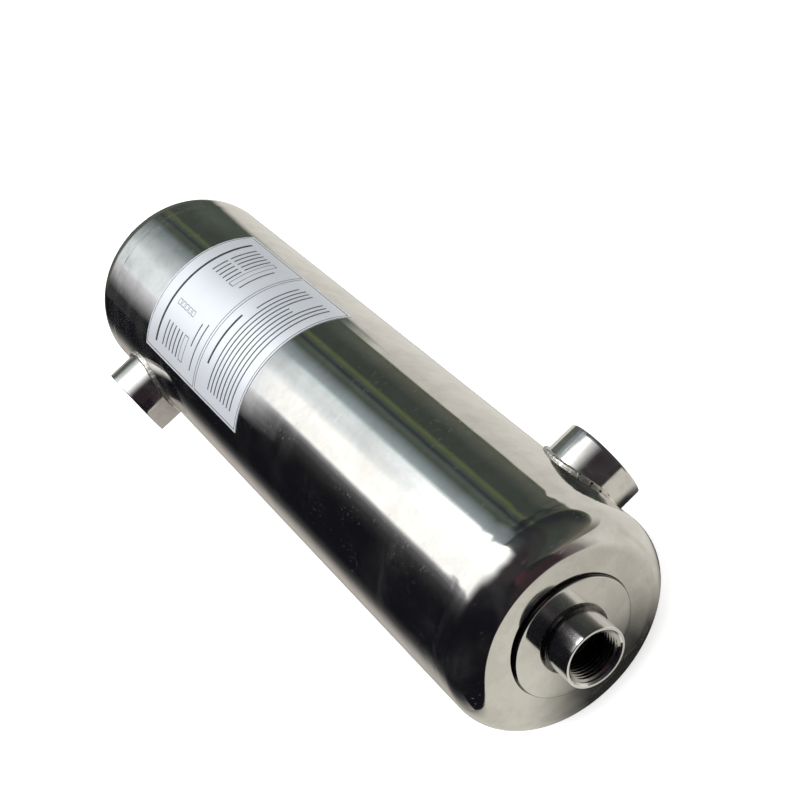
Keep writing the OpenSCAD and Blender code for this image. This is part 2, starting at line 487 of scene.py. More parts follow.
# The thread steel darkens far down each bore: painted shade, not the steel's colour.
thread_steel = drawn_finish(
    "thread_steel", (0.66, 0.65, 0.63, 1.0), (0.50, 0.49, 0.47, 1.0), 0.10, (0.07, 0.065, 0.06, 1.0)
)
bundle_steel = drawn_finish("bundle_steel", (0.60, 0.60, 0.59, 1.0), (0.42, 0.40, 0.37, 1.0), 0.24)
label_silver = foil_finish("label_silver")
label_ink = ink_finish("label_ink")


# Mesh building helpers

DRAWN_MERGE = 1e-7
BAKED_MERGE = 1e-8


def add_piece(name, mesh, material, replaced=()):
    piece = bpy.data.objects.new(name, mesh)
    scene.collection.objects.link(piece)
    mesh.materials.clear()
    mesh.materials.append(material)
    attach(piece, "root")
    if replaced:
        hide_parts(*replaced)


def clean_mesh(mesh, sharp_angle, merge=BAKED_MERGE):
    """Joins points that coincide, turns the faces outwards and smooths all but the sharp edges."""
    shape = bmesh.new()
    shape.from_mesh(mesh)
    bmesh.ops.remove_doubles(shape, verts=shape.verts, dist=merge)
    bmesh.ops.recalc_face_normals(shape, faces=shape.faces)
    shape.to_mesh(mesh)
    shape.free()
    mesh.shade_smooth()
    mesh.set_sharp_from_angle(angle=math.radians(sharp_angle))
    return mesh


def finish_mesh(name, points, faces, sharp_angle=35.0):
    mesh = bpy.data.meshes.new(name)
    mesh.from_pydata(points, [], faces)
    return clean_mesh(mesh, sharp_angle, DRAWN_MERGE)


def mark_zone(mesh, name, amount):
    """Gives each point of a mesh an amount from zero to one, which its finish reads."""
    zone = mesh.attributes.new(name, "FLOAT", "POINT")
    for index, vertex in enumerate(mesh.vertices):
        zone.data[index].value = min(max(amount(*vertex.co), 0.0), 1.0)


def at_end(end, point):
    """The far end is the near end turned half round about the upright."""
    x, y, z = point
    return (x, y, z) if end == "near" else (-x, -y, z)


def on_axis(along, radius, turn):
    return (along, radius * math.sin(turn), SHELL_R + radius * math.cos(turn))


def on_side(along, radius, turn):
    return (SIDE_X + radius * math.cos(turn), along, SHELL_R - radius * math.sin(turn))


def straights(corners, counts):
    """Points along the runs from corner to corner, without the last corner.
    Each run has its own count of points."""
    found = []
    for start, stop, count in zip(corners, corners[1:], counts):
        for i in range(count):
            t = i / count
            found.append((start[0] + (stop[0] - start[0]) * t, start[1] + (stop[1] - start[1]) * t))
    return found


def rounded(centre, radius, first, last, parts):
    """Points along an arc of the outline, from the first angle up to, but without, the last."""
    turns = [math.radians(first + (last - first) * i / parts) for i in range(parts)]
    return [(centre[0] + radius * math.cos(a), centre[1] + radius * math.sin(a)) for a in turns]


def turned(name, end, outline, place, parts, swell=None, sharp_angle=35.0):
    """A closed outline of (along, radius) points, turned about its axis."""
    points = []
    faces = []
    count = len(outline)
    for i in range(parts):
        turn = TAU * i / parts
        for along, radius in outline:
            grown = radius + (swell(along, radius, turn) if swell else 0.0)
            points.append(at_end(end, place(along, grown, turn)))
    for i in range(parts):
        here = i * count
        there = ((i + 1) % parts) * count
        for j in range(count):
            k = (j + 1) % count
            faces.append((here + j, here + k, there + k, there + j))
    return finish_mesh(name, points, faces, sharp_angle)


# The shell: its skin, its inner wall and the holes under the side sockets

PATCH_CELLS = 40
PATCH_HALF = GIRTH_X - SIDE_X
PATCH_TURN = PATCH_HALF / SHELL_R
SIDE_TURN = math.pi / 2.0
ARC_CELLS = 58
MIDDLE_CELLS = 76
RING_CELLS = 7
RING_REACHES = (37.5 * MM, 35.0 * MM, 33.0 * MM, 31.0 * MM, SIDE_R + SIDE_LEG, SIDE_R, SIDE_BORE)
INNER_REACHES = (SIDE_BORE + 2.0 * MM, SIDE_BORE)
DENT_REACH_MM = 8.5
LEAST_DENT = 0.002
DENT_BASE = 0.03
SLOW_DENT = 0.22
QUICK_DENT = 0.16
GROUND_WIDTH = 4.5 * MM
SADDLE_GAP = 0.02 * MM


def seam_dent(x, turn, end_sign):
    """How far the polished skin dips beside a girth joint. It never stands proud of the true radius."""
    away = (abs(x) - SEAM_X) / MM
    spread = math.exp(-(away / DENT_REACH_MM) ** 2)
    if spread < LEAST_DENT:
        return 0.0
    around = Vector((math.cos(turn), math.sin(turn), 0.0))
    slow = noise.noise(around * 4.2 + Vector((0.0, 0.0, 3.1 * end_sign + away * 0.02)))
    quick = noise.noise(around * 11.0 + Vector((5.0, 0.0, 7.7 * end_sign + away * 0.07)))
    depth = DENT_BASE + SLOW_DENT * slow + QUICK_DENT * quick
    return -max(depth, 0.0) * spread * MM


def skin_point(x, turn, radius, dented):
    grown = radius
    if dented:
        grown += seam_dent(x, turn, 1.0 if x > 0.0 else -1.0)
    return on_axis(x, grown, turn)


def shell_height(reach, turn):
    """Height of the round shell over the axis, at a reach from the side socket's axis."""
    return math.sqrt(SHELL_R ** 2 - (reach * math.sin(turn)) ** 2)


def even_steps(start, stop, cells):
    return [start + (stop - start) * i / cells for i in range(cells)]


class ShellBuilder:
    """Collects the shell's points and faces. Each wall is a grid with a round patch at each hole."""

    def __init__(self):
        self.points = []
        self.faces = []
        inner_x = GIRTH_X - 2.0 * PATCH_HALF
        self.stations = even_steps(-GIRTH_X, -inner_x, PATCH_CELLS)
        self.stations += even_steps(-inner_x, inner_x, MIDDLE_CELLS)
        self.stations += even_steps(inner_x, GIRTH_X, PATCH_CELLS) + [GIRTH_X]
        near = SIDE_TURN - PATCH_TURN
        self.turns = even_steps(near, near + 2.0 * PATCH_TURN, PATCH_CELLS)
        self.turns += even_steps(near + 2.0 * PATCH_TURN, near + math.pi, ARC_CELLS)
        self.half = len(self.turns)
        self.turns += [turn + math.pi for turn in self.turns]
        self.last = len(self.stations) - 1

    def add(self, point):
        self.points.append(point)
        return len(self.points) - 1

    def in_patch(self, i, j):
        near = i >= self.last - PATCH_CELLS and j < PATCH_CELLS
        far = i < PATCH_CELLS and self.half <= j < self.half + PATCH_CELLS
        return near or far

    def corner(self, wall, i, j):
        """A point of a wall's grid, made when it is first asked for."""
        key = (i, j % len(self.turns))
        if key not in wall["grid"]:
            x = self.stations[i]
            wall["grid"][key] = self.add(skin_point(x, self.turns[key[1]], wall["radius"], wall["dented"]))
        return wall["grid"][key]

    def wall(self, radius, dented):
        """The plain part of one wall."""
        wall = {"radius": radius, "dented": dented, "grid": {}}
        for i in range(self.last):
            for j in range(len(self.turns)):
                if not self.in_patch(i, j):
                    places = ((i, j), (i, j + 1), (i + 1, j + 1), (i + 1, j))
                    self.faces.append(tuple(self.corner(wall, *place) for place in places))
        return wall

    def patch_edge(self, end):
        """Grid places around a patch, in the order of their angle about the socket's axis."""
        n = PATCH_CELLS
        places = []
        for k in range(4 * n):
            side, step = divmod(k, n)
            i, j = ((n, step), (n - step, n), (0, n - step), (step, 0))[side]
            if end == "near":
                places.append((self.last - n + i, j))
            else:
                places.append((n - i, self.half + n - j))
        return places

    def bridge(self, first, second):
        count = len(first)
        for k in range(count):
            after = (k + 1) % count
            self.faces.append((first[k], first[after], second[after], second[k]))

    def patch(self, end, wall, reaches):
        """Rings from a patch's square edge to circles about the socket's axis. Returns the last circle."""
        places = self.patch_edge(end)
        count = len(places)
        mirror = 1.0 if end == "near" else -1.0
        centre = SIDE_TURN if end == "near" else SIDE_TURN + math.pi
        steps = [(reaches[0], step / RING_CELLS) for step in range(1, RING_CELLS + 1)]
        steps += [(reach, 1.0) for reach in reaches[1:]]
        previous = [self.corner(wall, i, j) for i, j in places]
        for reach, t in steps:
            ring = []
            for k, (i, j) in enumerate(places):
                turn = TAU * k / count - math.pi / 4.0
                goal_x = mirror * (SIDE_X + reach * math.cos(turn))
                goal_turn = centre + mirror * math.asin(reach * math.sin(turn) / wall["radius"])
                x = self.stations[i] * (1.0 - t) + goal_x * t
                angle = self.turns[j] * (1.0 - t) + goal_turn * t
                ring.append(self.add(skin_point(x, angle, wall["radius"], wall["dented"])))
            self.bridge(previous, ring)
            previous = ring
        return previous


def beside_weld(x, y, z):
    """How near a place is to a side weld, in the narrow strip that was ground by hand."""
    away = math.hypot(abs(x) - SIDE_X, z - SHELL_R) - SIDE_R - SIDE_LEG
    same_side = x * y > 0.0 and abs(y) > 0.5 * SHELL_R
    return 1.0 - away / GROUND_WIDTH if same_side else 0.0


def build_shell():
    shell = ShellBuilder()
    outer = shell.wall(SHELL_R, True)
    inner = shell.wall(INNER_R, False)
    for end in ENDS:
        rim = shell.patch(end, outer, RING_REACHES)
        shell.bridge(rim, shell.patch(end, inner, INNER_REACHES))
    for i in (0, shell.last):
        for j in range(len(shell.turns)):
            places = ((outer, i, j), (outer, i, j + 1), (inner, i, j + 1), (inner, i, j))
            shell.faces.append(tuple(shell.corner(*place) for place in places))
    mesh = finish_mesh("shell_skin", shell.points, shell.faces, 40.0)
    mark_zone(mesh, "ground_zone", beside_weld)
    add_piece("shell_skin", mesh, shell_polish, ("shell_barrel",))


build_shell()


# End caps, girth joints and header plates

TURN_PARTS = 192
OUTER_SKIN = 0.1 * MM
EDGE_BAND = 0.9 * MM
EDGE_FADE = 0.5 * MM


def cap_swell(end):
    """The dents of a cap and its joint, in step with those of the shell."""
    start, end_sign = (0.0, 1.0) if end == "near" else (math.pi, -1.0)

    def swell(along, radius, turn):
        if radius < SHELL_R - OUTER_SKIN:
            return 0.0
        return seam_dent(along, turn + start, end_sign)

    return swell


def plate_edge_shade(x, y, z):
    """How far out a place is on the turned-down edge of a header plate, where its finish paints shade at
    the gap to the cap's face.
    """
    return (math.hypot(y, z - SHELL_R) - HEADER_R + EDGE_BAND) / EDGE_FADE


def cap_outline():
    bend_x = FACE_X - KNUCKLE
    bend_r = SHELL_R - KNUCKLE
    back = FACE_X - SHELL_WALL
    found = straights(((CAP_X, SHELL_R), (bend_x, SHELL_R)), (7,))
    found += rounded((bend_x, bend_r), KNUCKLE, 90.0, 0.0, 26)
    face = ((FACE_X, bend_r), (FACE_X, OPENING_R), (back, OPENING_R), (back, bend_r))
    found += straights(face, (8, 2, 3))
    found += rounded((bend_x, bend_r), KNUCKLE - SHELL_WALL, 0.0, 90.0, 10)
    found += straights(((bend_x, INNER_R), (CAP_X, INNER_R), (CAP_X, SHELL_R)), (2, 2))
    return found


def plate_outline():
    edge_x = PLATE_X - PLATE_EDGE
    edge_r = HEADER_R - PLATE_EDGE
    seat_r = AXIAL_R + SLIP_GAP
    found = straights(((PLATE_BACK_X, HEADER_R), (edge_x, HEADER_R)), (3,))
    found += rounded((edge_x, edge_r), PLATE_EDGE, 90.0, 0.0, 8)
    inward = ((PLATE_X, edge_r), (PLATE_X, seat_r), (PLATE_BACK_X, seat_r), (PLATE_BACK_X, HEADER_R))
    found += straights(inward, (8, 2, 2))
    return found


def build_ends():
    ring = ((GIRTH_X, SHELL_R), (CAP_X, SHELL_R), (CAP_X, INNER_R), (GIRTH_X, INNER_R), (GIRTH_X, SHELL_R))
    joint = straights(ring, (6, 1, 1, 1))
    for end in ENDS:
        swell = cap_swell(end)
        mesh = turned(end + "_cap_skin", end, cap_outline(), on_axis, TURN_PARTS, swell)
        add_piece(end + "_cap_skin", mesh, cap_polish, (end + "_end_cap",))
        mesh = turned(end + "_girth_joint", end, joint, on_axis, TURN_PARTS, swell)
        add_piece(end + "_girth_joint", mesh, girth_polish, (end + "_girth_weld",))
        mesh = turned(end + "_plate_disc", end, plate_outline(), on_axis, TURN_PARTS)
        # Painted shade along the plate's turned-down edge
        mark_zone(mesh, "edge_zone", plate_edge_shade)
        add_piece(end + "_plate_disc", mesh, plate_polish, (end + "_header_plate",))


build_ends()


# Sockets

AXIAL_PARTS = 128
SIDE_PARTS = 144
SOCKET_SHARP = 30.0


def on_saddle(along, radius, turn):
    """A place about a side socket's axis, with the foot cut to the round of the shell."""
    return on_side(max(along, shell_height(radius, turn) + SADDLE_GAP), radius, turn)


def socket_outline(foot, clear, mouth, outer, bore):
    """Section of a socket. Between the foot and the clear height its walls have no points."""
    edge_x = mouth - MOUTH_EDGE
    edge_r = outer - MOUTH_EDGE
    found = [(foot, outer)]
    found += straights(((clear, outer), (edge_x, outer)), (9,))
    found += rounded((edge_x, edge_r), MOUTH_EDGE, 90.0, 0.0, 5)
    inward = ((mouth, edge_r), (mouth, bore + MOUTH_CHAMFER), (mouth - MOUTH_CHAMFER, bore), (clear, bore))
    found += straights(inward, (2, 2, 7))
    found += [(clear, bore)]
    found += straights(((foot, bore), (foot, outer)), (2,))
    return found


def build_sockets():
    axial = socket_outline(axial_low.x, axial_low.x + 1.0 * MM, AXIAL_MOUTH, AXIAL_R, AXIAL_BORE)
    side = socket_outline(SIDE_FOOT, SHELL_R + 1.2 * MM, SIDE_MOUTH, SIDE_R, SIDE_BORE)
    kinds = (
        ("axial", axial, on_axis, AXIAL_PARTS, axial_turned),
        ("side", side, on_saddle, SIDE_PARTS, side_polish),
    )
    for end in ENDS:
        for kind, outline, place, parts, finish in kinds:
            name = end + "_" + kind + "_fitting"
            mesh = turned(name, end, outline, place, parts, None, SOCKET_SHARP)
            add_piece(name, mesh, finish, (end + "_" + kind + "_socket",))


build_sockets()


# Geometry Nodes: what repeats or follows a path

class GeometryTree:
    """A geometry node tree with named sizes and counts. It ends in Realize Instances and Set Material."""

    def __init__(self, name, sizes, counts=()):
        self.tree = bpy.data.node_groups.new(name, "GeometryNodeTree")
        self.tree.is_modifier = True
        self.ids = {}
        self.add_inputs("NodeSocketGeometry", ("Geometry",))
        self.add_inputs("NodeSocketFloat", sizes)
        self.add_inputs("NodeSocketInt", counts)
        self.add_inputs("NodeSocketMaterial", ("Finish",))
        self.tree.interface.new_socket("Geometry", in_out="OUTPUT", socket_type="NodeSocketGeometry")
        self.given = self.tree.nodes.new("NodeGroupInput").outputs

    def add_inputs(self, kind, labels):
        for label in labels:
            socket = self.tree.interface.new_socket(label, in_out="INPUT", socket_type=kind)
            self.ids[label] = socket.identifier

    def node(self, kind, settings=None, **values):
        """The outputs of a new node, with its inputs set or linked by name."""
        made = self.tree.nodes.new(kind)
        for key, value in (settings or {}).items():
            setattr(made, key, value)
        return fill(self.tree, made, values).outputs

    def calc(self, operation, first, second=0.0):
        return calc(self.tree, operation, first, second)

    def circle(self, radius, steps):
        kind = "GeometryNodeCurvePrimitiveCircle"
        return self.node(kind, {"mode": "RADIUS"}, Radius=radius, Resolution=steps)["Curve"]

    def upright(self, curve):
        return self.node("GeometryNodeSetCurveNormal", {"mode": "Z_UP"}, Curve=curve)["Curve"]

    def sweep(self, path, section, capped=False):
        kind = "GeometryNodeCurveToMesh"
        return self.node(kind, Curve=path, Profile_Curve=section, Fill_Caps=capped)["Mesh"]

    def rotated(self, geometry, *degrees):
        turn = tuple(math.radians(angle) for angle in degrees)
        return self.node("GeometryNodeTransform", Geometry=geometry, Rotation=turn)["Geometry"]

    def on_points(self, points, shape):
        return self.node("GeometryNodeInstanceOnPoints", Points=points, Instance=shape)["Instances"]

    def close(self, geometry):
        real = self.node("GeometryNodeRealizeInstances", Geometry=geometry)["Geometry"]
        finish = self.given["Finish"]
        dressed = self.node("GeometryNodeSetMaterial", Geometry=real, Material=finish)["Geometry"]
        self.node("NodeGroupOutput", Geometry=dressed)
        return self

    def bake(self, name, seed_mesh=None, **values):
        """The tree's result as a plain mesh. The carrier object and its modifier are removed."""
        carrier = bpy.data.objects.new(name + "_carrier", seed_mesh or bpy.data.meshes.new(name + "_seed"))
        scene.collection.objects.link(carrier)
        modifier = carrier.modifiers.new("shape", "NODES")
        modifier.node_group = self.tree
        for label, value in values.items():
            modifier[self.ids[label.replace("_", " ")]] = value
        bpy.context.view_layer.update()
        result = carrier.evaluated_get(bpy.context.evaluated_depsgraph_get())
        mesh = bpy.data.meshes.new_from_object(result)
        mesh.name = name
        carrier.modifiers.clear()
        bpy.data.objects.remove(carrier)
        return mesh


def build_thread_tree():
    """A thread ridge of flat-topped section along a spiral."""
    made = GeometryTree("Thread Ridge", ("Turns", "Radius", "Pitch", "Ridge Height"), ("Steps",))
    given = made.given
    middle = made.calc("SUBTRACT", given["Radius"], made.calc("MULTIPLY", given["Ridge Height"], 0.5))
    spiral = made.node(
        "GeometryNodeCurveSpiral",
        Resolution=given["Steps"],
        Rotations=given["Turns"],
        Start_Radius=middle,
        End_Radius=middle,
        Height=made.calc("MULTIPLY", given["Turns"], given["Pitch"]),
    )["Curve"]
    section = made.node(
        "GeometryNodeCurvePrimitiveQuadrilateral",
        {"mode": "TRAPEZOID"},
        Height=given["Ridge Height"],
        Bottom_Width=made.calc("MULTIPLY", given["Pitch"], 0.80),
        Top_Width=made.calc("MULTIPLY", given["Pitch"], 0.16),
        Offset=0.0,
    )["Curve"]
    return made.close(made.sweep(made.upright(spiral), made.rotated(section, 0.0, 0.0, -90.0), True))


def build_bead_tree():
    """A weld bead around a circle, or around the seam of a socket that stands square on a round shell.
    It is rippled like laid coins and lumpy, with a fixed seed."""
    sizes = ("Radius", "Saddle Radius", "Bead Radius", "Ripple Depth", "Lump Depth", "Seed")
    made = GeometryTree("Weld Bead", sizes, ("Ripples",))
    given = made.given
    place = made.node("GeometryNodeInputPosition")["Position"]
    parts = made.node("ShaderNodeSeparateXYZ", Vector=place)
    saddle = made.calc("MULTIPLY", given["Saddle Radius"], given["Saddle Radius"])
    lift = made.calc("SUBTRACT", saddle, made.calc("MULTIPLY", parts["Y"], parts["Y"]))
    lift = made.calc("SQRT", made.calc("MAXIMUM", lift, 0.0))
    seam = made.node(
        "GeometryNodeSetPosition",
        Geometry=made.circle(given["Radius"], 420),
        Offset=made.node("ShaderNodeCombineXYZ", Z=lift)["Vector"],
    )["Geometry"]
    bead = made.sweep(seam, made.circle(given["Bead Radius"], 18))
    around = made.calc("ARCTAN2", parts["Y"], parts["X"])
    flat = made.node("ShaderNodeCombineXYZ", X=parts["X"], Y=parts["Y"])["Vector"]
    reach = made.node("ShaderNodeVectorMath", {"operation": "LENGTH"}, Vector=flat)["Value"]
    off_middle = made.calc("SUBTRACT", reach, given["Radius"])
    bow = made.calc("DIVIDE", made.calc("ABSOLUTE", off_middle), given["Bead Radius"])
    wobble, lumps = (
        made.node(
            "ShaderNodeTexNoise",
            {"noise_dimensions": "4D"},
            Vector=place,
            W=given["Seed"],
            Scale=scale,
            Detail=detail,
        )["Fac"]
        for scale, detail in ((260.0, 2.0), (110.0, 3.0))
    )
    phase = made.calc("MULTIPLY", around, given["Ripples"])
    phase = made.calc("ADD", phase, made.calc("MULTIPLY", bow, 1.6))
    phase = made.calc("ADD", phase, made.calc("MULTIPLY", wobble, 5.0))
    wave = made.calc("ABSOLUTE", made.calc("SINE", made.calc("MULTIPLY", phase, 0.5)))
    rise = made.calc("MULTIPLY", made.calc("SUBTRACT", wave, 0.7), given["Ripple Depth"])
    lump = made.calc("MULTIPLY", made.calc("SUBTRACT", lumps, 0.5), given["Lump Depth"])
    outward = made.node(
        "ShaderNodeVectorMath",
        {"operation": "SCALE"},
        Vector=made.node("GeometryNodeInputNormal")["Normal"],
        Scale=made.calc("ADD", rise, lump),
    )["Vector"]
    return made.close(made.node("GeometryNodeSetPosition", Geometry=bead, Offset=outward)["Geometry"])


def build_rule_tree():
    """Printed rules of one width, evenly spaced along the shell and bent around it."""
    sizes = ("First Row", "Row Gap", "Rule Width", "Ink Thickness", "Radius", "Start Angle", "Sweep Angle")
    made = GeometryTree("Label Rules", sizes, ("Rows", "Steps"))
    given = made.given
    rows = made.node(
        "GeometryNodeMeshLine",
        {"mode": "OFFSET"},
        Count=given["Rows"],
        Start_Location=made.node("ShaderNodeCombineXYZ", X=given["First Row"])["Vector"],
        Offset=made.node("ShaderNodeCombineXYZ", X=given["Row Gap"])["Vector"],
    )["Mesh"]
    arc = made.node(
        "GeometryNodeCurveArc",
        {"mode": "RADIUS"},
        Resolution=given["Steps"],
        Radius=given["Radius"],
        Start_Angle=given["Start Angle"],
        Sweep_Angle=given["Sweep Angle"],
    )["Curve"]
    section = made.node(
        "GeometryNodeCurvePrimitiveQuadrilateral",
        {"mode": "RECTANGLE"},
        Width=given["Ink Thickness"],
        Height=given["Rule Width"],
    )["Curve"]
    rule = made.sweep(made.upright(arc), section, True)
    return made.close(made.on_points(rows, made.rotated(rule, 90.0, 0.0, 90.0)))


def build_seal_tree():
    """A small rolled ring on each point, where a tube is expanded into its sheet."""
    made = GeometryTree("Tube Seals", ("Ring Radius", "Ring Thickness"))
    given = made.given
    ring = made.sweep(made.circle(given["Ring Radius"], 40), made.circle(given["Ring Thickness"], 8))
    points = made.node("GeometryNodeMeshToPoints", Mesh=given["Geometry"])["Points"]
    return made.close(made.on_points(points, made.rotated(ring, 0.0, 90.0, 0.0)))


thread_tree = build_thread_tree()
bead_tree = build_bead_tree()
rule_tree = build_rule_tree()
seal_tree = build_seal_tree()

AXIS_TURN = Matrix(((0, 0, 1, 0), (1, 0, 0, 0), (0, 1, 0, SHELL_R), (0, 0, 0, 1)))
SIDE_PLACE = Matrix(((1, 0, 0, SIDE_X), (0, 0, 1, 0), (0, -1, 0, SHELL_R), (0, 0, 0, 1)))
HALF_ROUND = {"near": Matrix.Identity(4), "far": Matrix.Rotation(math.pi, 4, "Z")}
THREAD_SHARP = 30.0
BEAD_SHARP = 60.0
THREAD_RUNOUT = 1.5 * MM
THREAD_STEPS = 72


def build_threads():
    kinds = (
        ("axial", AXIS_TURN, AXIAL_BORE, AXIAL_MOUTH, axial_low.x),
        ("side", SIDE_PLACE, SIDE_BORE, SIDE_MOUTH, SHELL_R + 1.0 * MM),
    )
    for end in ENDS:
        for kind, place, bore, mouth, foot in kinds:
            name = end + "_" + kind + "_thread"
            first = mouth - MOUTH_CHAMFER * 0.5 - THREAD_PITCH * 0.4
            turns = (first - foot - THREAD_RUNOUT) / THREAD_PITCH
            mesh = thread_tree.bake(
                name,
                Turns=turns,
                Radius=bore + SLIP_GAP,
                Pitch=THREAD_PITCH,
                Ridge_Height=THREAD_DEPTH,
                Steps=THREAD_STEPS,
                Finish=thread_steel,
            )
            start = Matrix.Translation((0, 0, first - turns * THREAD_PITCH))
            mesh.transform(HALF_ROUND[end] @ place @ start)
            add_piece(name, clean_mesh(mesh, THREAD_SHARP), thread_steel)


def lay_bead(end, kind, place, finish, **values):
    """A weld bead, in place of the solid weld of its kind."""
    name = end + "_" + kind + "_bead"
    mesh = bead_tree.bake(name, Finish=finish, **values)
    mesh.transform(HALF_ROUND[end] @ place)
    add_piece(name, clean_mesh(mesh, BEAD_SHARP), finish, (end + "_" + kind + "_weld",))


def build_welds():
    leg = axial_weld_high.x - axial_weld_low.x
    on_plate = AXIS_TURN @ Matrix.Translation((0, 0, PLATE_X + 0.2 * leg))
    for number, end in enumerate(ENDS):
        # The axial ring's near-black finish is painted shade.
        lay_bead(
            end,
            "axial",
            on_plate,
            ring_steel,
            Radius=AXIAL_R + 0.25 * leg,
            Saddle_Radius=0.0,
            Bead_Radius=0.68 * leg,
            Ripples=38,
            Ripple_Depth=0.03 * MM,
            Lump_Depth=0.14 * MM,
            Seed=3.0 + number,
        )
        lay_bead(
            end,
            "side",
            SIDE_PLACE,
            bead_steel,
            Radius=SIDE_R + 0.30 * SIDE_LEG,
            Saddle_Radius=SHELL_R + 0.28 * SIDE_LEG,
            Bead_Radius=0.92 * SIDE_LEG,
            Ripples=46,
            Ripple_Depth=0.14 * MM,
            Lump_Depth=0.75 * MM,
            Seed=11.0 + number,
        )


def build_tube_seals():
    tubes = sorted(name for name in frame["nodes"] if name.startswith("tube_"))
    boxes = [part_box(name) for name in tubes]
    centres = [(low + high) / 2.0 for low, high in boxes]
    sheet_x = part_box("near_tube_sheet")[1].x
    tube_r = (boxes[0][1].z - boxes[0][0].z) / 2.0
    for end in ENDS:
        side = 1.0 if end == "near" else -1.0
        places = bpy.data.meshes.new(end + "_seal_places")
        places.from_pydata([(side * sheet_x, c.y, c.z) for c in centres], [], [])
        name = end + "_tube_seals"
        mesh = seal_tree.bake(
            name,
            places,
            Ring_Radius=tube_r + 0.1 * MM,
            Ring_Thickness=0.55 * MM,
            Finish=bundle_steel,
        )
        add_piece(name, clean_mesh(mesh, BEAD_SHARP), bundle_steel)


build_threads()
build_welds()
build_tube_seals()


# The label: a plain foil sheet with blank ruled fields

LABEL_R = SHELL_R + 0.35 * MM
LABEL_BACK_R = SHELL_R + 0.10 * MM
LABEL_FIRST = math.degrees(math.asin(label_low.y / LABEL_R))
LABEL_LAST = math.degrees(math.asin(label_high.y / LABEL_R))
LABEL_SHARP = 40.0
ACROSS_CELLS = 56
ALONG_CELLS = 40
INK = 0.03 * MM
INK_LIFT = 0.3 * INK
STEP_DEGREES = 1.6
FRAME_INSET = 1.6 * MM
FRAME_LINE = 0.55 * MM
HEADING_INSET = 7.0


def build_label_sheet():
    across = ACROSS_CELLS
    along = ALONG_CELLS
    points = []
    faces = []
    for radius in (LABEL_R, LABEL_BACK_R):
        for i in range(along + 1):
            x = label_low.x + (label_high.x - label_low.x) * i / along
            for j in range(across + 1):
                turn = math.radians(LABEL_FIRST + (LABEL_LAST - LABEL_FIRST) * j / across)
                points.append(on_axis(x, radius, turn))
    row = across + 1
    layer = row * (along + 1)
    for i in range(along):
        for j in range(across):
            a = i * row + j
            faces.append((a, a + 1, a + row + 1, a + row))
            faces.append((layer + a, layer + a + row, layer + a + row + 1, layer + a + 1))
    rim = list(range(across))
    rim += [i * row + across for i in range(along)]
    rim += [along * row + j for j in range(across, 0, -1)]
    rim += [i * row for i in range(along, 0, -1)]
    for k, a in enumerate(rim):
        b = rim[(k + 1) % len(rim)]
        faces.append((a, layer + a, layer + b, b))
    mesh = finish_mesh("label_sheet", points, faces, LABEL_SHARP)
    add_piece("label_sheet", mesh, label_silver, ("data_label",))


def print_rules(parts, rows, first, gap, width, start, stop):
    """Rules at x = first and every gap after it, from the start angle to the stop angle, in degrees."""
    parts.append(
        rule_tree.bake(
            "label_rule_part",
            Rows=rows,
            First_Row=first,
            Row_Gap=gap,
            Rule_Width=width,
            Ink_Thickness=INK,
            Radius=LABEL_R + INK_LIFT,
            Start_Angle=math.radians(90.0 - stop),
            Sweep_Angle=math.radians(stop - start),
            Steps=max(3, int((stop - start) / STEP_DEGREES)),
            Finish=label_ink,
        )
    )


def print_box(parts, low_x, high_x, start, stop, line):
    """The four edges of a field, in lines of one width."""
    slim = math.degrees(line / LABEL_R)
    print_rules(parts, 2, low_x, high_x - low_x, line, start, stop)
    middle = (low_x + high_x) / 2.0
    for edge in (start, stop - slim):
        print_rules(parts, 1, middle, 0.0, high_x - low_x, edge, edge + slim)


def build_label_print():
    parts = []
    low_x = label_low.x
    high_x = label_high.x
    turn_inset = math.degrees(FRAME_INSET / LABEL_R)
    first = LABEL_FIRST + turn_inset
    last = LABEL_LAST - turn_inset
    split = low_x + 76.0 * MM
    print_box(parts, low_x + FRAME_INSET, split, first, last, FRAME_LINE)
    print_box(parts, split + 2.6 * MM, high_x - FRAME_INSET, first, last, FRAME_LINE)
    heading = (LABEL_FIRST + HEADING_INSET, LABEL_LAST - HEADING_INSET)
    print_rules(parts, 1, low_x + 15.0 * MM, 0.0, 2.3 * MM, *heading)
    for start, stop in ((-42.0, -27.0), (10.0, 20.0), (22.0, 38.0)):
        print_rules(parts, 5, low_x + 25.0 * MM, 5.2 * MM, 1.3 * MM, start, stop)
    for start, stop in ((-42.0, -27.0), (10.0, 38.0)):
        print_box(parts, low_x + 50.0 * MM, low_x + 55.5 * MM, start, stop, 0.5 * MM)
    for k in range(5):
        tick = low_x + (25.0 + 5.2 * k) * MM
        print_box(parts, tick - 1.8 * MM, tick + 1.8 * MM, -17.0, -13.5, 0.4 * MM)
    # The place of the first row from its base, the gap and the width are in millimetres
    for rows, base, place, gap, width, start, stop in (
        (1, low_x, 61.5, 0.0, 1.2, -30.0, -16.0),
        (1, low_x, 68.0, 0.0, 1.2, -42.0, -14.0),
        (1, low_x, 61.5, 0.0, 1.2, 12.0, 34.0),
        (1, split, 12.0, 0.0, 2.0, -30.0, 2.0),
        (1, split, 16.0, 0.0, 1.2, 10.0, 36.0),
        (3, split, 21.0, 4.6, 1.2, -42.0, 38.0),
        (2, split, 34.8, 4.6, 1.2, -42.0, 22.0),
        (3, split, 44.0, 4.6, 1.2, -42.0, 38.0),
    ):
        print_rules(parts, rows, base + place * MM, gap * MM, width * MM, start, stop)
    shape = bmesh.new()
    for part in parts:
        shape.from_mesh(part)
    mesh = bpy.data.meshes.new("label_rules")
    shape.to_mesh(mesh)
    shape.free()
    mesh.transform(Matrix.Translation((0.0, 0.0, SHELL_R)))
    add_piece("label_rules", clean_mesh(mesh, LABEL_SHARP), label_ink)


build_label_sheet()
build_label_print()


# The bundle keeps its solids, with a better finish

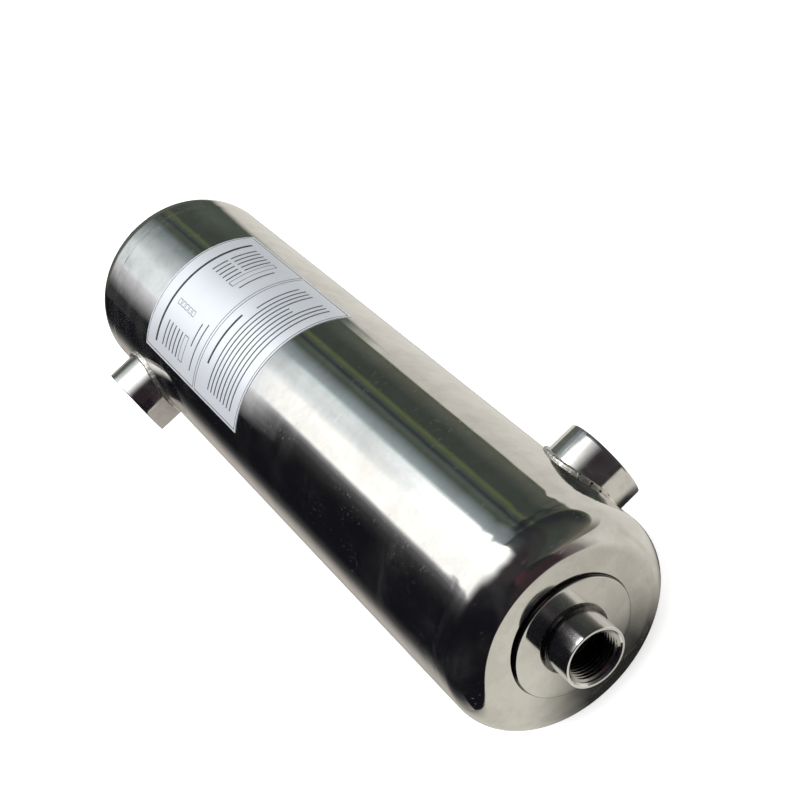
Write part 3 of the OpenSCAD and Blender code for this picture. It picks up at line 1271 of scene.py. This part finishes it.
def dress_bundle():
    for name, node in frame["nodes"].items():
        if name.startswith("tube_") or name.endswith("_tube_sheet") or name.endswith("_header_sleeve"):
            node.data.materials.clear()
            node.data.materials.append(bundle_steel)


dress_bundle()


# Stage: pale floor, soft light, and the long panels that a polished surface needs to reflect

def seen_directly(tree):
    """One where a ray comes from the camera, from a mirror or through glass, otherwise zero."""
    path = tree.nodes.new("ShaderNodeLightPath").outputs
    seen = calc(tree, "MAXIMUM", path["Is Camera Ray"], path["Is Glossy Ray"])
    return calc(tree, "MAXIMUM", seen, path["Is Transmission Ray"])


def bare_material(name):
    """A new material with an empty tree, and the socket for its surface."""
    material = bpy.data.materials.new(name)
    material.use_nodes = True
    tree = material.node_tree
    tree.nodes.clear()
    return material, tree, tree.nodes.new("ShaderNodeOutputMaterial").inputs["Surface"]


FLOOR_REACH = 12.0
FLOOR_GLOW = 0.55
ROOM_LIGHT = 0.55
ROOM_SEEN_EXTRA = 0.45


def build_floor():
    material, tree, surface = bare_material("pale_floor")
    matt = add_node(tree, "ShaderNodeBsdfDiffuse", Color=(0.86, 0.86, 0.86, 1.0))
    strength = calc(tree, "MULTIPLY", seen_directly(tree), FLOOR_GLOW)
    glow = add_node(tree, "ShaderNodeEmission", Strength=strength)
    total = tree.nodes.new("ShaderNodeAddShader")
    link(tree, matt.outputs["BSDF"], total.inputs[0])
    link(tree, glow.outputs["Emission"], total.inputs[1])
    link(tree, total.outputs["Shader"], surface)
    mesh = bpy.data.meshes.new("floor")
    corners = [(x * FLOOR_REACH, y * FLOOR_REACH, 0.0) for x, y in ((-1, -1), (1, -1), (1, 1), (-1, 1))]
    mesh.from_pydata(corners, [], [(0, 1, 2, 3)])
    mesh.materials.append(material)
    floor = bpy.data.objects.new("floor", mesh)
    scene.collection.objects.link(floor)


def build_world():
    world = bpy.data.worlds.new("soft_room")
    scene.world = world
    world.use_nodes = True
    tree = world.node_tree
    strength = plus_scaled(tree, seen_directly(tree), ROOM_SEEN_EXTRA, ROOM_LIGHT)
    fill(tree, tree.nodes["Background"], {"Color": (1.0, 1.0, 1.0, 1.0), "Strength": strength})


def add_lamp(name, place, aim, size, power):
    data = bpy.data.lights.new(name, "AREA")
    data.shape = "RECTANGLE"
    data.size = size[0]
    data.size_y = size[1]
    data.energy = power
    lamp = bpy.data.objects.new(name, data)
    lamp.location = place
    lamp.rotation_euler = (Vector(aim) - Vector(place)).to_track_quat("-Z", "Y").to_euler()
    lamp.visible_glossy = False
    lamp.visible_camera = False
    scene.collection.objects.link(lamp)


def graded_material(name):
    """A panel whose colour runs softly from one painted edge to the next."""
    material, tree, surface = bare_material(name)
    paint = tree.nodes.new("ShaderNodeAttribute")
    paint.attribute_name = "paint"
    glow = add_node(tree, "ShaderNodeEmission", Color=paint.outputs["Color"])
    link(tree, glow.outputs["Emission"], surface)
    return material


def add_panel(name, points, faces, paints):
    mesh = bpy.data.meshes.new(name)
    mesh.from_pydata(points, [], faces)
    attribute = mesh.color_attributes.new("paint", "FLOAT_COLOR", "POINT")
    for index, paint in enumerate(paints):
        attribute.data[index].color = paint + (1.0,)
    mesh.materials.append(panel_paint)
    panel = bpy.data.objects.new(name, mesh)
    panel.visible_camera = False
    panel.visible_diffuse = False
    panel.visible_shadow = False
    panel.visible_transmission = False
    scene.collection.objects.link(panel)


panel_paint = graded_material("panel_paint")
BLACK = (0.008, 0.008, 0.011)
MAROON = (0.060, 0.022, 0.031)
BROWN = (0.20, 0.18, 0.15)
SHADE = (0.022, 0.022, 0.021)
WARM_DARK = (0.036, 0.022, 0.026)
SOOT = (0.028, 0.021, 0.026)
NIGHT = (0.016, 0.017, 0.022)
SMOKE = (0.040, 0.042, 0.040)
WHITE = (1.30, 1.29, 1.26)
FAR_WHITE = (0.98, 1.04, 1.08)
PALE_BLUE = (0.81, 0.87, 0.89)
SKY_BLUE = (0.76, 0.86, 0.88)
SLATE = (0.22, 0.26, 0.275)
GREEN_GREY = (0.075, 0.092, 0.074)
DEEP_GREEN = (0.052, 0.062, 0.053)
INK_GREEN = (0.035, 0.043, 0.047)
OLIVE = (0.115, 0.135, 0.060)
BACK_GREEN = (0.11, 0.125, 0.11)
CREAM = (0.74, 0.72, 0.66)
NEAR_CREAM = (0.66, 0.64, 0.57)
FAR_CREAM = (0.62, 0.60, 0.55)
SHADE_CREAM = (0.54, 0.52, 0.46)
BEIGE = (0.50, 0.47, 0.43)
SOCKET_CREAM = (0.66, 0.635, 0.575)
GLARE = (2.35, 2.35, 2.31)
BEAM = (5.5, 5.5, 5.45)
DUSK = (0.22, 0.20, 0.19)
TUNNEL_R = 2.2
TUNNEL_REACH = 6.0
PANEL_FOOT = 0.001
BACK_RUN = (-4.6, -3.1)
FAR_RUN = (-2.62, -2.46)
OVERHEAD = (-14.0, 10.0)
NIGHT_SIDE = (11.0, 80.0)
GLARE_RUN = (-2.05, -1.6)
GLARE_SHARE = 0.75
NIGHT_RUN = (-1.52, -1.4)
NIGHT_SHARE = 0.85
BEAM_RISE = (-1.48, -1.34)
BEAM_FALL = (-0.9, -0.1)


def mixed(first, second, amount):
    return tuple(a + (b - a) * amount for a, b in zip(first, second))


def grey(level):
    return (level, level, level * 1.04)


def add_grid_panel(name, rows):
    """A panel from rows of (point, paint) pairs, all of one length."""
    points = [point for row in rows for point, paint in row]
    paints = [paint for row in rows for point, paint in row]
    width = len(rows[0])
    faces = []
    for i in range(len(rows) - 1):
        for j in range(width - 1):
            a = i * width + j
            faces.append((a, a + 1, a + width + 1, a + width))
    add_panel(name, points, faces, paints)


def eased(value, low, high):
    """Zero below low, one above high, with a soft run between them."""
    t = min(max((value - low) / (high - low), 0.0), 1.0)
    return t * t * (3.0 - 2.0 * t)


def build_tunnel():
    """Long curved panel around the shell's axis, above the floor. Angles run from straight up towards +Y.
    Each band has a paint for the far end of the shell, one for the rest of it, and one for its dark part
    towards +X, which starts around a place and over a width of its own. Overhead there is a glare for the
    near part of the shell to mirror, and a beam for the axial socket, with night beside the beam."""
    bands = (
        (-90.0, BLACK, BLACK, BLACK, 0.0, 1.0),
        (-74.0, BLACK, BLACK, BLACK, 0.0, 1.0),
        (-66.0, grey(0.18), BLACK, BLACK, 0.0, 1.0),
        (-60.0, grey(0.36), grey(0.015), BLACK, -0.6, 0.8),
        (-52.0, grey(0.60), grey(0.036), BLACK, -0.6, 0.8),
        (-45.0, grey(0.80), grey(0.11), BLACK, -0.6, 0.8),
        (-41.0, FAR_WHITE, grey(0.32), BLACK, -0.6, 0.8),
        (-37.5, FAR_WHITE, WHITE, BLACK, -0.6, 0.8),
        (-24.0, FAR_WHITE, WHITE, BLACK, -0.3, 0.8),
        (-16.0, FAR_WHITE, WHITE, BLACK, 0.2, 1.0),
        (-10.0, PALE_BLUE, mixed(WHITE, PALE_BLUE, 0.75), SOOT, 0.3, 1.0),
        (-4.0, mixed(PALE_BLUE, SLATE, 0.3), PALE_BLUE, SOOT, 0.25, 0.9),
        (3.0, mixed(PALE_BLUE, SLATE, 0.5), mixed(PALE_BLUE, WHITE, 0.12), SOOT, 0.4, 0.9),
        (9.0, mixed(PALE_BLUE, SLATE, 0.7), SKY_BLUE, SOOT, 0.2, 0.9),
        (13.0, mixed(SKY_BLUE, SLATE, 0.85), mixed(SKY_BLUE, SLATE, 0.75), SOOT, 0.3, 0.9),
        (20.0, SLATE, SLATE, SOOT, 0.5, 1.0),
        (27.0, GREEN_GREY, GREEN_GREY, SMOKE, 0.6, 1.1),
        (32.0, GREEN_GREY, mixed(GREEN_GREY, SLATE, 0.12), SMOKE, 0.0, 1.0),
        (35.5, INK_GREEN, INK_GREEN, SMOKE, 0.0, 1.0),
        (39.5, GREEN_GREY, GREEN_GREY, SMOKE, 0.0, 1.0),
        (43.5, OLIVE, OLIVE, DEEP_GREEN, 0.0, 1.0),
        (47.0, DEEP_GREEN, DEEP_GREEN, DEEP_GREEN, 0.0, 1.0),
        (60.0, DEEP_GREEN, DEEP_GREEN, DEEP_GREEN, 0.0, 1.0),
        (76.0, GREEN_GREY, mixed(GREEN_GREY, BROWN, 0.3), mixed(DEEP_GREEN, BROWN, 0.4), 0.8, 0.8),
        (81.0, GREEN_GREY, mixed(GREEN_GREY, OLIVE, 0.4), BROWN, 0.8, 0.8),
        (82.5, GREEN_GREY, FAR_CREAM, BROWN, 0.8, 0.8),
        (90.0, GREEN_GREY, FAR_CREAM, BROWN, 0.8, 0.8),
    )
    stations = (-TUNNEL_REACH, -4.6, -4.1, -3.6, -3.1, -2.62, -2.54, -2.46, -2.15, -1.9, -1.6, -1.5)
    stations += (-1.4, -1.34, -1.1, -0.8, -0.5, -0.2, 0.1, 0.4, 0.7, 1.0, 1.3, 1.6, 2.0, 2.5, TUNNEL_REACH)
    rows = []
    for angle, far, lit, dark, middle, width in bands:
        turn = math.radians(angle)
        y = TUNNEL_R * math.sin(turn)
        z = TUNNEL_R * math.cos(turn) + PANEL_FOOT
        overhead = 1.0 if OVERHEAD[0] < angle < OVERHEAD[1] else 0.0
        night = NIGHT_SHARE if NIGHT_SIDE[0] < angle < NIGHT_SIDE[1] else 0.0
        row = []
        for x in stations:
            paint = mixed(lit, GLARE, GLARE_SHARE * overhead * eased(x, *GLARE_RUN))
            paint = mixed(paint, NIGHT, night * eased(x, *NIGHT_RUN))
            paint = mixed(paint, BEAM, overhead * (eased(x, *BEAM_RISE) - eased(x, *BEAM_FALL)))
            paint = mixed(paint, dark, eased(x, middle - width, middle + width))
            paint = mixed(far, paint, eased(x, *FAR_RUN))
            row.append(((x, y, z), mixed(BACK_GREEN, paint, eased(x, *BACK_RUN))))
        rows.append(row)
    add_grid_panel("studio_tunnel", rows)
    across = (-TUNNEL_R, -0.11, -0.02, 0.55, 0.95, TUNNEL_R)
    front = (BLACK, BLACK, MAROON, MAROON, SHADE, SHADE)
    back = (BACK_GREEN,) * len(across)
    for name, x, paints in (("front_wall", TUNNEL_REACH, front), ("back_wall", -TUNNEL_REACH, back)):
        rows = [[((x, y, z), paint) for y, paint in zip(across, paints)] for z in (PANEL_FOOT, TUNNEL_R)]
        add_grid_panel(name, rows)


def add_floor_card(name, first_x, last_x, lines, height):
    """A card lying just over the floor, painted along Y from line to line."""
    rows = [[((x, y, height), paint) for x in (first_x, last_x)] for y, paint in lines]
    add_grid_panel(name, rows)


LEFT_FLOOR = (
    (-TUNNEL_R, BLACK),
    (-0.26, BLACK),
    (-0.22, grey(0.02)),
    (-0.18, grey(0.06)),
    (-0.155, mixed(BLACK, BEIGE, 0.36)),
    (-0.135, mixed(BLACK, BEIGE, 0.70)),
    (-0.11, BEIGE),
    (-0.08, mixed(SHADE, BEIGE, 0.8)),
    (0.0, SHADE),
)
RIGHT_FLOOR = (
    (0.0, SHADE),
    (0.07, mixed(SHADE, CREAM, 0.4)),
    (0.12, CREAM),
    (0.30, mixed(CREAM, FAR_CREAM, 0.4)),
    (0.70, FAR_CREAM),
    (TUNNEL_R, FAR_CREAM),
)
BACK_EDGE = (
    (0.0, (-TUNNEL_REACH,)),
    (0.07, (-0.60,)),
    (0.41, (-0.75,)),
    (1.2, (-1.36,)),
    (TUNNEL_R, (-2.48,)),
)
FRONT_EDGE = (
    (-0.135, (0.250,)),
    (-0.105, (0.313,)),
    (-0.075, (0.358,)),
    (-0.045, (0.386,)),
    (0.050, (0.405,)),
)
CARD_LEVEL = 0.002
DARK_LEVEL = 0.0015
FRONT_LEVEL = 0.003
NEAR_X = 0.25
FRONT_X = 0.11
FRONT_Y = -0.135
FRONT_STEP = 0.015
FRONT_CELLS = 19
FOOT_SHADE = (NEAR_X, 0.012, 0.045, 0.054)
SOCKET_SHADE = (0.19, 0.08, 0.05, 0.036)
SOCKET_CARD_X = 0.26
SOCKET_CARD_Y = (0.078, 0.104)
SOCKET_CARD_TOP = 0.087


def between(marks, place):
    """The value at a place, from marks of (place, value), in straight runs."""
    for (low, first), (high, last) in zip(marks, marks[1:]):
        if place <= high:
            return mixed(first, last, (place - low) / (high - low))
    return marks[-1][1]


def front_edges(y):
    """How far forward the floor is pale, dusky and dark, beside and in front of the near end."""
    pale = max(between(FRONT_EDGE, y)[0], NEAR_X + y / 0.95)
    dusk = max(pale + 0.007, NEAR_X + y / 0.60)
    return pale, dusk, max(dusk + 0.008, NEAR_X + y / 0.36)


def oval(x, y, middle_x, middle_y, half_x, half_y):
    """Zero in the middle of an oval and one on its edge."""
    return math.hypot((x - middle_x) / half_x, (y - middle_y) / half_y)


def front_paint(x, y):
    """Pale floor, with a soft shade at the foot of the near end and under its side socket.
    Towards -X it runs into the paint of the cards beside the shell."""
    pale = mixed(NEAR_CREAM, SHADE_CREAM, eased(y, -0.03, 0.04))
    pale = mixed(pale, CREAM, eased(y, 0.06, 0.14))
    pale = mixed(pale, grey(0.06), eased(-y, 0.10, 0.15))
    pale = mixed(SHADE, pale, eased(oval(x, y, *FOOT_SHADE), 0.5, 1.4))
    beside = between(LEFT_FLOOR, y) if y < 0.0 else between(RIGHT_FLOOR, y)
    pale = mixed(beside, pale, eased(x, 0.15, 0.24))
    return mixed(SHADE, pale, eased(oval(x, y, *SOCKET_SHADE), 0.5, 1.2))


def build_floor_cards():
    add_floor_card("left_card", -TUNNEL_REACH, NEAR_X, LEFT_FLOOR, CARD_LEVEL)
    rows = []
    for y in (0.0, 0.07, 0.12, 0.16, 0.22, 0.30, 0.42, 0.55, 0.70, 1.1, TUNNEL_R):
        paint = between(RIGHT_FLOOR, y)
        pale, dusk, dark = front_edges(y)
        back = max(between(BACK_EDGE, y)[0], -5.0)
        row = [((x, y, CARD_LEVEL), GREEN_GREY) for x in (-TUNNEL_REACH, back - 0.1)]
        row += [((x, y, CARD_LEVEL), paint) for x in (back + 0.1, pale)]
        row += [((dusk, y, CARD_LEVEL), DUSK), ((dark, y, CARD_LEVEL), WARM_DARK)]
        rows.append(row)
    add_grid_panel("right_card", rows)
    beyond = ((-TUNNEL_R, BLACK), (-0.06, BLACK), (0.02, WARM_DARK), (TUNNEL_R, WARM_DARK))
    add_floor_card("dark_front_card", NEAR_X, 6.5, beyond, DARK_LEVEL)
    rows = []
    for step in range(FRONT_CELLS + 1):
        y = FRONT_Y + FRONT_STEP * step
        pale, dusk, dark = front_edges(y)
        row = []
        for part in range(FRONT_CELLS + 1):
            x = FRONT_X + (pale - FRONT_X) * part / FRONT_CELLS
            row.append(((x, y, FRONT_LEVEL), front_paint(x, y)))
        end_paint = mixed(BLACK, WARM_DARK, eased(y, -0.06, 0.02))
        row.append(((dusk, y, FRONT_LEVEL), mixed(end_paint, DUSK, eased(y, 0.03, 0.09))))
        row.append(((dark, y, FRONT_LEVEL), end_paint))
        rows.append(row)
    add_grid_panel("front_card", rows)
    rows = []
    for z in (PANEL_FOOT, SOCKET_CARD_TOP):
        rows.append([((SOCKET_CARD_X, y, z), SOCKET_CREAM) for y in SOCKET_CARD_Y])
    add_grid_panel("socket_card", rows)


build_floor()
build_world()
build_tunnel()
build_floor_cards()
add_lamp("top_light", (0.2, -0.4, 2.0), (0.0, 0.0, 0.0), (2.4, 2.4), 38.0)
add_lamp("side_light", (1.2, -1.6, 1.2), (0.0, 0.0, 0.05), (1.2, 1.2), 10.0)
